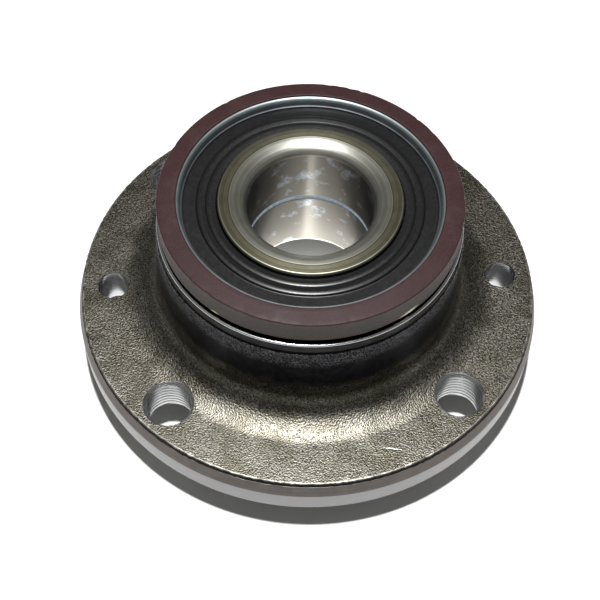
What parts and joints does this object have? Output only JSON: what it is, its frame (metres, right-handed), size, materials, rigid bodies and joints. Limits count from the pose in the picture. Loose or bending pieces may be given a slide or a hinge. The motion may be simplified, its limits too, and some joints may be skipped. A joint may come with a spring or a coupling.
{
  "type": "wheel hub",
  "caption": "Rear wheel hub unit: flanged outer ring turning on a double-row ball bearing, with bolt flange, wheel pilot, seals and a magnetic encoder ring.",
  "frame": {"origin": "centre of the bolt circle on the flange's wheel-side face, on the hub axis", "axes": "+Z along the hub axis, inboard, towards the car; the small locating holes lie on X"},
  "size_m": [0.116, 0.116, 0.0522],
  "materials": {
    "forged_steel": "shot-blasted forging with turned rim",
    "bearing_steel": "ground",
    "ball_steel": "polished",
    "pressed_steel": "pressed sheet",
    "cage_polyamide": "moulded",
    "seal_rubber": "moulded nitrile",
    "encoder_ferrite": "bonded magnet, matt"
  },
  "bodies": {
    "inner_rings": {"inboard_inner_ring": "bearing_steel", "outboard_inner_ring": "bearing_steel"},
    "rotating_hub": {"flanged_outer_ring": "forged_steel", "inboard_seal_case": "pressed_steel", "inboard_seal_rubber": "seal_rubber", "outboard_seal_case": "pressed_steel", "outboard_seal_rubber": "seal_rubber", "encoder_carrier": "pressed_steel", "encoder_magnet": "encoder_ferrite"},
    "inboard_cage": {"inboard_ball_cage": "cage_polyamide"},
    "outboard_cage": {"outboard_ball_cage": "cage_polyamide"},
    "inboard_ball_01": {"inboard_ball_01": "ball_steel"},
    "inboard_ball_02": {"inboard_ball_02": "ball_steel"},
    "inboard_ball_03": {"inboard_ball_03": "ball_steel"},
    "inboard_ball_04": {"inboard_ball_04": "ball_steel"},
    "inboard_ball_05": {"inboard_ball_05": "ball_steel"},
    "inboard_ball_06": {"inboard_ball_06": "ball_steel"},
    "inboard_ball_07": {"inboard_ball_07": "ball_steel"},
    "inboard_ball_08": {"inboard_ball_08": "ball_steel"},
    "inboard_ball_09": {"inboard_ball_09": "ball_steel"},
    "inboard_ball_10": {"inboard_ball_10": "ball_steel"},
    "inboard_ball_11": {"inboard_ball_11": "ball_steel"},
    "inboard_ball_12": {"inboard_ball_12": "ball_steel"},
    "inboard_ball_13": {"inboard_ball_13": "ball_steel"},
    "outboard_ball_01": {"outboard_ball_01": "ball_steel"},
    "outboard_ball_02": {"outboard_ball_02": "ball_steel"},
    "outboard_ball_03": {"outboard_ball_03": "ball_steel"},
    "outboard_ball_04": {"outboard_ball_04": "ball_steel"},
    "outboard_ball_05": {"outboard_ball_05": "ball_steel"},
    "outboard_ball_06": {"outboard_ball_06": "ball_steel"},
    "outboard_ball_07": {"outboard_ball_07": "ball_steel"},
    "outboard_ball_08": {"outboard_ball_08": "ball_steel"},
    "outboard_ball_09": {"outboard_ball_09": "ball_steel"},
    "outboard_ball_10": {"outboard_ball_10": "ball_steel"},
    "outboard_ball_11": {"outboard_ball_11": "ball_steel"},
    "outboard_ball_12": {"outboard_ball_12": "ball_steel"},
    "outboard_ball_13": {"outboard_ball_13": "ball_steel"}
  },
  "joints": [
    {"name": "hub_rotation", "type": "hinge", "parent": "inner_rings", "child": "rotating_hub", "pos_m": [0, 0, 0.0252], "axis": [0, 0, 1], "continuous": true},
    {"name": "inboard_cage_orbit", "type": "hinge", "parent": "inner_rings", "child": "inboard_cage", "pos_m": [0, 0, 0.0335], "axis": [0, 0, 1], "continuous": true},
    {"name": "outboard_cage_orbit", "type": "hinge", "parent": "inner_rings", "child": "outboard_cage", "pos_m": [0, 0, 0.0169], "axis": [0, 0, 1], "continuous": true},
    {"name": "inboard_ball_01_spin", "type": "hinge", "parent": "inboard_cage", "child": "inboard_ball_01", "pos_m": [0.02227, 0, 0.0335], "axis": [0.5878, 0, 0.809], "continuous": true},
    {"name": "inboard_ball_02_spin", "type": "hinge", "parent": "inboard_cage", "child": "inboard_ball_02", "pos_m": [0.01972, 0.01035, 0.0335], "axis": [0.5205, 0.2732, 0.809], "continuous": true},
    {"name": "inboard_ball_03_spin", "type": "hinge", "parent": "inboard_cage", "child": "inboard_ball_03", "pos_m": [0.01265, 0.01833, 0.0335], "axis": [0.3339, 0.4837, 0.809], "continuous": true},
    {"name": "inboard_ball_04_spin", "type": "hinge", "parent": "inboard_cage", "child": "inboard_ball_04", "pos_m": [0.00268, 0.02211, 0.0335], "axis": [0.0708, 0.5835, 0.809], "continuous": true},
    {"name": "inboard_ball_05_spin", "type": "hinge", "parent": "inboard_cage", "child": "inboard_ball_05", "pos_m": [-0.0079, 0.02082, 0.0335], "axis": [-0.2084, 0.5496, 0.809], "continuous": true},
    {"name": "inboard_ball_06_spin", "type": "hinge", "parent": "inboard_cage", "child": "inboard_ball_06", "pos_m": [-0.01667, 0.01477, 0.0335], "axis": [-0.44, 0.3898, 0.809], "continuous": true},
    {"name": "inboard_ball_07_spin", "type": "hinge", "parent": "inboard_cage", "child": "inboard_ball_07", "pos_m": [-0.02162, 0.00533, 0.0335], "axis": [-0.5707, 0.1407, 0.809], "continuous": true},
    {"name": "inboard_ball_08_spin", "type": "hinge", "parent": "inboard_cage", "child": "inboard_ball_08", "pos_m": [-0.02162, -0.00533, 0.0335], "axis": [-0.5707, -0.1407, 0.809], "continuous": true},
    {"name": "inboard_ball_09_spin", "type": "hinge", "parent": "inboard_cage", "child": "inboard_ball_09", "pos_m": [-0.01667, -0.01477, 0.0335], "axis": [-0.44, -0.3898, 0.809], "continuous": true},
    {"name": "inboard_ball_10_spin", "type": "hinge", "parent": "inboard_cage", "child": "inboard_ball_10", "pos_m": [-0.0079, -0.02082, 0.0335], "axis": [-0.2084, -0.5496, 0.809], "continuous": true},
    {"name": "inboard_ball_11_spin", "type": "hinge", "parent": "inboard_cage", "child": "inboard_ball_11", "pos_m": [0.00268, -0.02211, 0.0335], "axis": [0.0708, -0.5835, 0.809], "continuous": true},
    {"name": "inboard_ball_12_spin", "type": "hinge", "parent": "inboard_cage", "child": "inboard_ball_12", "pos_m": [0.01265, -0.01833, 0.0335], "axis": [0.3339, -0.4837, 0.809], "continuous": true},
    {"name": "inboard_ball_13_spin", "type": "hinge", "parent": "inboard_cage", "child": "inboard_ball_13", "pos_m": [0.01972, -0.01035, 0.0335], "axis": [0.5205, -0.2732, 0.809], "continuous": true},
    {"name": "outboard_ball_01_spin", "type": "hinge", "parent": "outboard_cage", "child": "outboard_ball_01", "pos_m": [0.02162, 0.00533, 0.0169], "axis": [-0.5707, -0.1407, 0.809], "continuous": true},
    {"name": "outboard_ball_02_spin", "type": "hinge", "parent": "outboard_cage", "child": "outboard_ball_02", "pos_m": [0.01667, 0.01477, 0.0169], "axis": [-0.44, -0.3898, 0.809], "continuous": true},
    {"name": "outboard_ball_03_spin", "type": "hinge", "parent": "outboard_cage", "child": "outboard_ball_03", "pos_m": [0.0079, 0.02082, 0.0169], "axis": [-0.2084, -0.5496, 0.809], "continuous": true},
    {"name": "outboard_ball_04_spin", "type": "hinge", "parent": "outboard_cage", "child": "outboard_ball_04", "pos_m": [-0.00268, 0.02211, 0.0169], "axis": [0.0708, -0.5835, 0.809], "continuous": true},
    {"name": "outboard_ball_05_spin", "type": "hinge", "parent": "outboard_cage", "child": "outboard_ball_05", "pos_m": [-0.01265, 0.01833, 0.0169], "axis": [0.3339, -0.4837, 0.809], "continuous": true},
    {"name": "outboard_ball_06_spin", "type": "hinge", "parent": "outboard_cage", "child": "outboard_ball_06", "pos_m": [-0.01972, 0.01035, 0.0169], "axis": [0.5205, -0.2732, 0.809], "continuous": true},
    {"name": "outboard_ball_07_spin", "type": "hinge", "parent": "outboard_cage", "child": "outboard_ball_07", "pos_m": [-0.02227, 0, 0.0169], "axis": [0.5878, 0, 0.809], "continuous": true},
    {"name": "outboard_ball_08_spin", "type": "hinge", "parent": "outboard_cage", "child": "outboard_ball_08", "pos_m": [-0.01972, -0.01035, 0.0169], "axis": [0.5205, 0.2732, 0.809], "continuous": true},
    {"name": "outboard_ball_09_spin", "type": "hinge", "parent": "outboard_cage", "child": "outboard_ball_09", "pos_m": [-0.01265, -0.01833, 0.0169], "axis": [0.3339, 0.4837, 0.809], "continuous": true},
    {"name": "outboard_ball_10_spin", "type": "hinge", "parent": "outboard_cage", "child": "outboard_ball_10", "pos_m": [-0.00268, -0.02211, 0.0169], "axis": [0.0708, 0.5835, 0.809], "continuous": true},
    {"name": "outboard_ball_11_spin", "type": "hinge", "parent": "outboard_cage", "child": "outboard_ball_11", "pos_m": [0.0079, -0.02082, 0.0169], "axis": [-0.2084, 0.5496, 0.809], "continuous": true},
    {"name": "outboard_ball_12_spin", "type": "hinge", "parent": "outboard_cage", "child": "outboard_ball_12", "pos_m": [0.01667, -0.01477, 0.0169], "axis": [-0.44, 0.3898, 0.809], "continuous": true},
    {"name": "outboard_ball_13_spin", "type": "hinge", "parent": "outboard_cage", "child": "outboard_ball_13", "pos_m": [0.02162, -0.00533, 0.0169], "axis": [-0.5707, 0.1407, 0.809], "continuous": true}
  ],
  "couplings": [
    {"joint": "inboard_cage_orbit", "follows": "hub_rotation", "ratio": 0.57929},
    {"joint": "outboard_cage_orbit", "follows": "hub_rotation", "ratio": 0.57929},
    {"joint": "inboard_ball_01_spin", "follows": "hub_rotation", "ratio": 2.4865},
    {"joint": "inboard_ball_02_spin", "follows": "hub_rotation", "ratio": 2.4865},
    {"joint": "inboard_ball_03_spin", "follows": "hub_rotation", "ratio": 2.4865},
    {"joint": "inboard_ball_04_spin", "follows": "hub_rotation", "ratio": 2.4865},
    {"joint": "inboard_ball_05_spin", "follows": "hub_rotation", "ratio": 2.4865},
    {"joint": "inboard_ball_06_spin", "follows": "hub_rotation", "ratio": 2.4865},
    {"joint": "inboard_ball_07_spin", "follows": "hub_rotation", "ratio": 2.4865},
    {"joint": "inboard_ball_08_spin", "follows": "hub_rotation", "ratio": 2.4865},
    {"joint": "inboard_ball_09_spin", "follows": "hub_rotation", "ratio": 2.4865},
    {"joint": "inboard_ball_10_spin", "follows": "hub_rotation", "ratio": 2.4865},
    {"joint": "inboard_ball_11_spin", "follows": "hub_rotation", "ratio": 2.4865},
    {"joint": "inboard_ball_12_spin", "follows": "hub_rotation", "ratio": 2.4865},
    {"joint": "inboard_ball_13_spin", "follows": "hub_rotation", "ratio": 2.4865},
    {"joint": "outboard_ball_01_spin", "follows": "hub_rotation", "ratio": 2.4865},
    {"joint": "outboard_ball_02_spin", "follows": "hub_rotation", "ratio": 2.4865},
    {"joint": "outboard_ball_03_spin", "follows": "hub_rotation", "ratio": 2.4865},
    {"joint": "outboard_ball_04_spin", "follows": "hub_rotation", "ratio": 2.4865},
    {"joint": "outboard_ball_05_spin", "follows": "hub_rotation", "ratio": 2.4865},
    {"joint": "outboard_ball_06_spin", "follows": "hub_rotation", "ratio": 2.4865},
    {"joint": "outboard_ball_07_spin", "follows": "hub_rotation", "ratio": 2.4865},
    {"joint": "outboard_ball_08_spin", "follows": "hub_rotation", "ratio": 2.4865},
    {"joint": "outboard_ball_09_spin", "follows": "hub_rotation", "ratio": 2.4865},
    {"joint": "outboard_ball_10_spin", "follows": "hub_rotation", "ratio": 2.4865},
    {"joint": "outboard_ball_11_spin", "follows": "hub_rotation", "ratio": 2.4865},
    {"joint": "outboard_ball_12_spin", "follows": "hub_rotation", "ratio": 2.4865},
    {"joint": "outboard_ball_13_spin", "follows": "hub_rotation", "ratio": 2.4865}
  ]
}
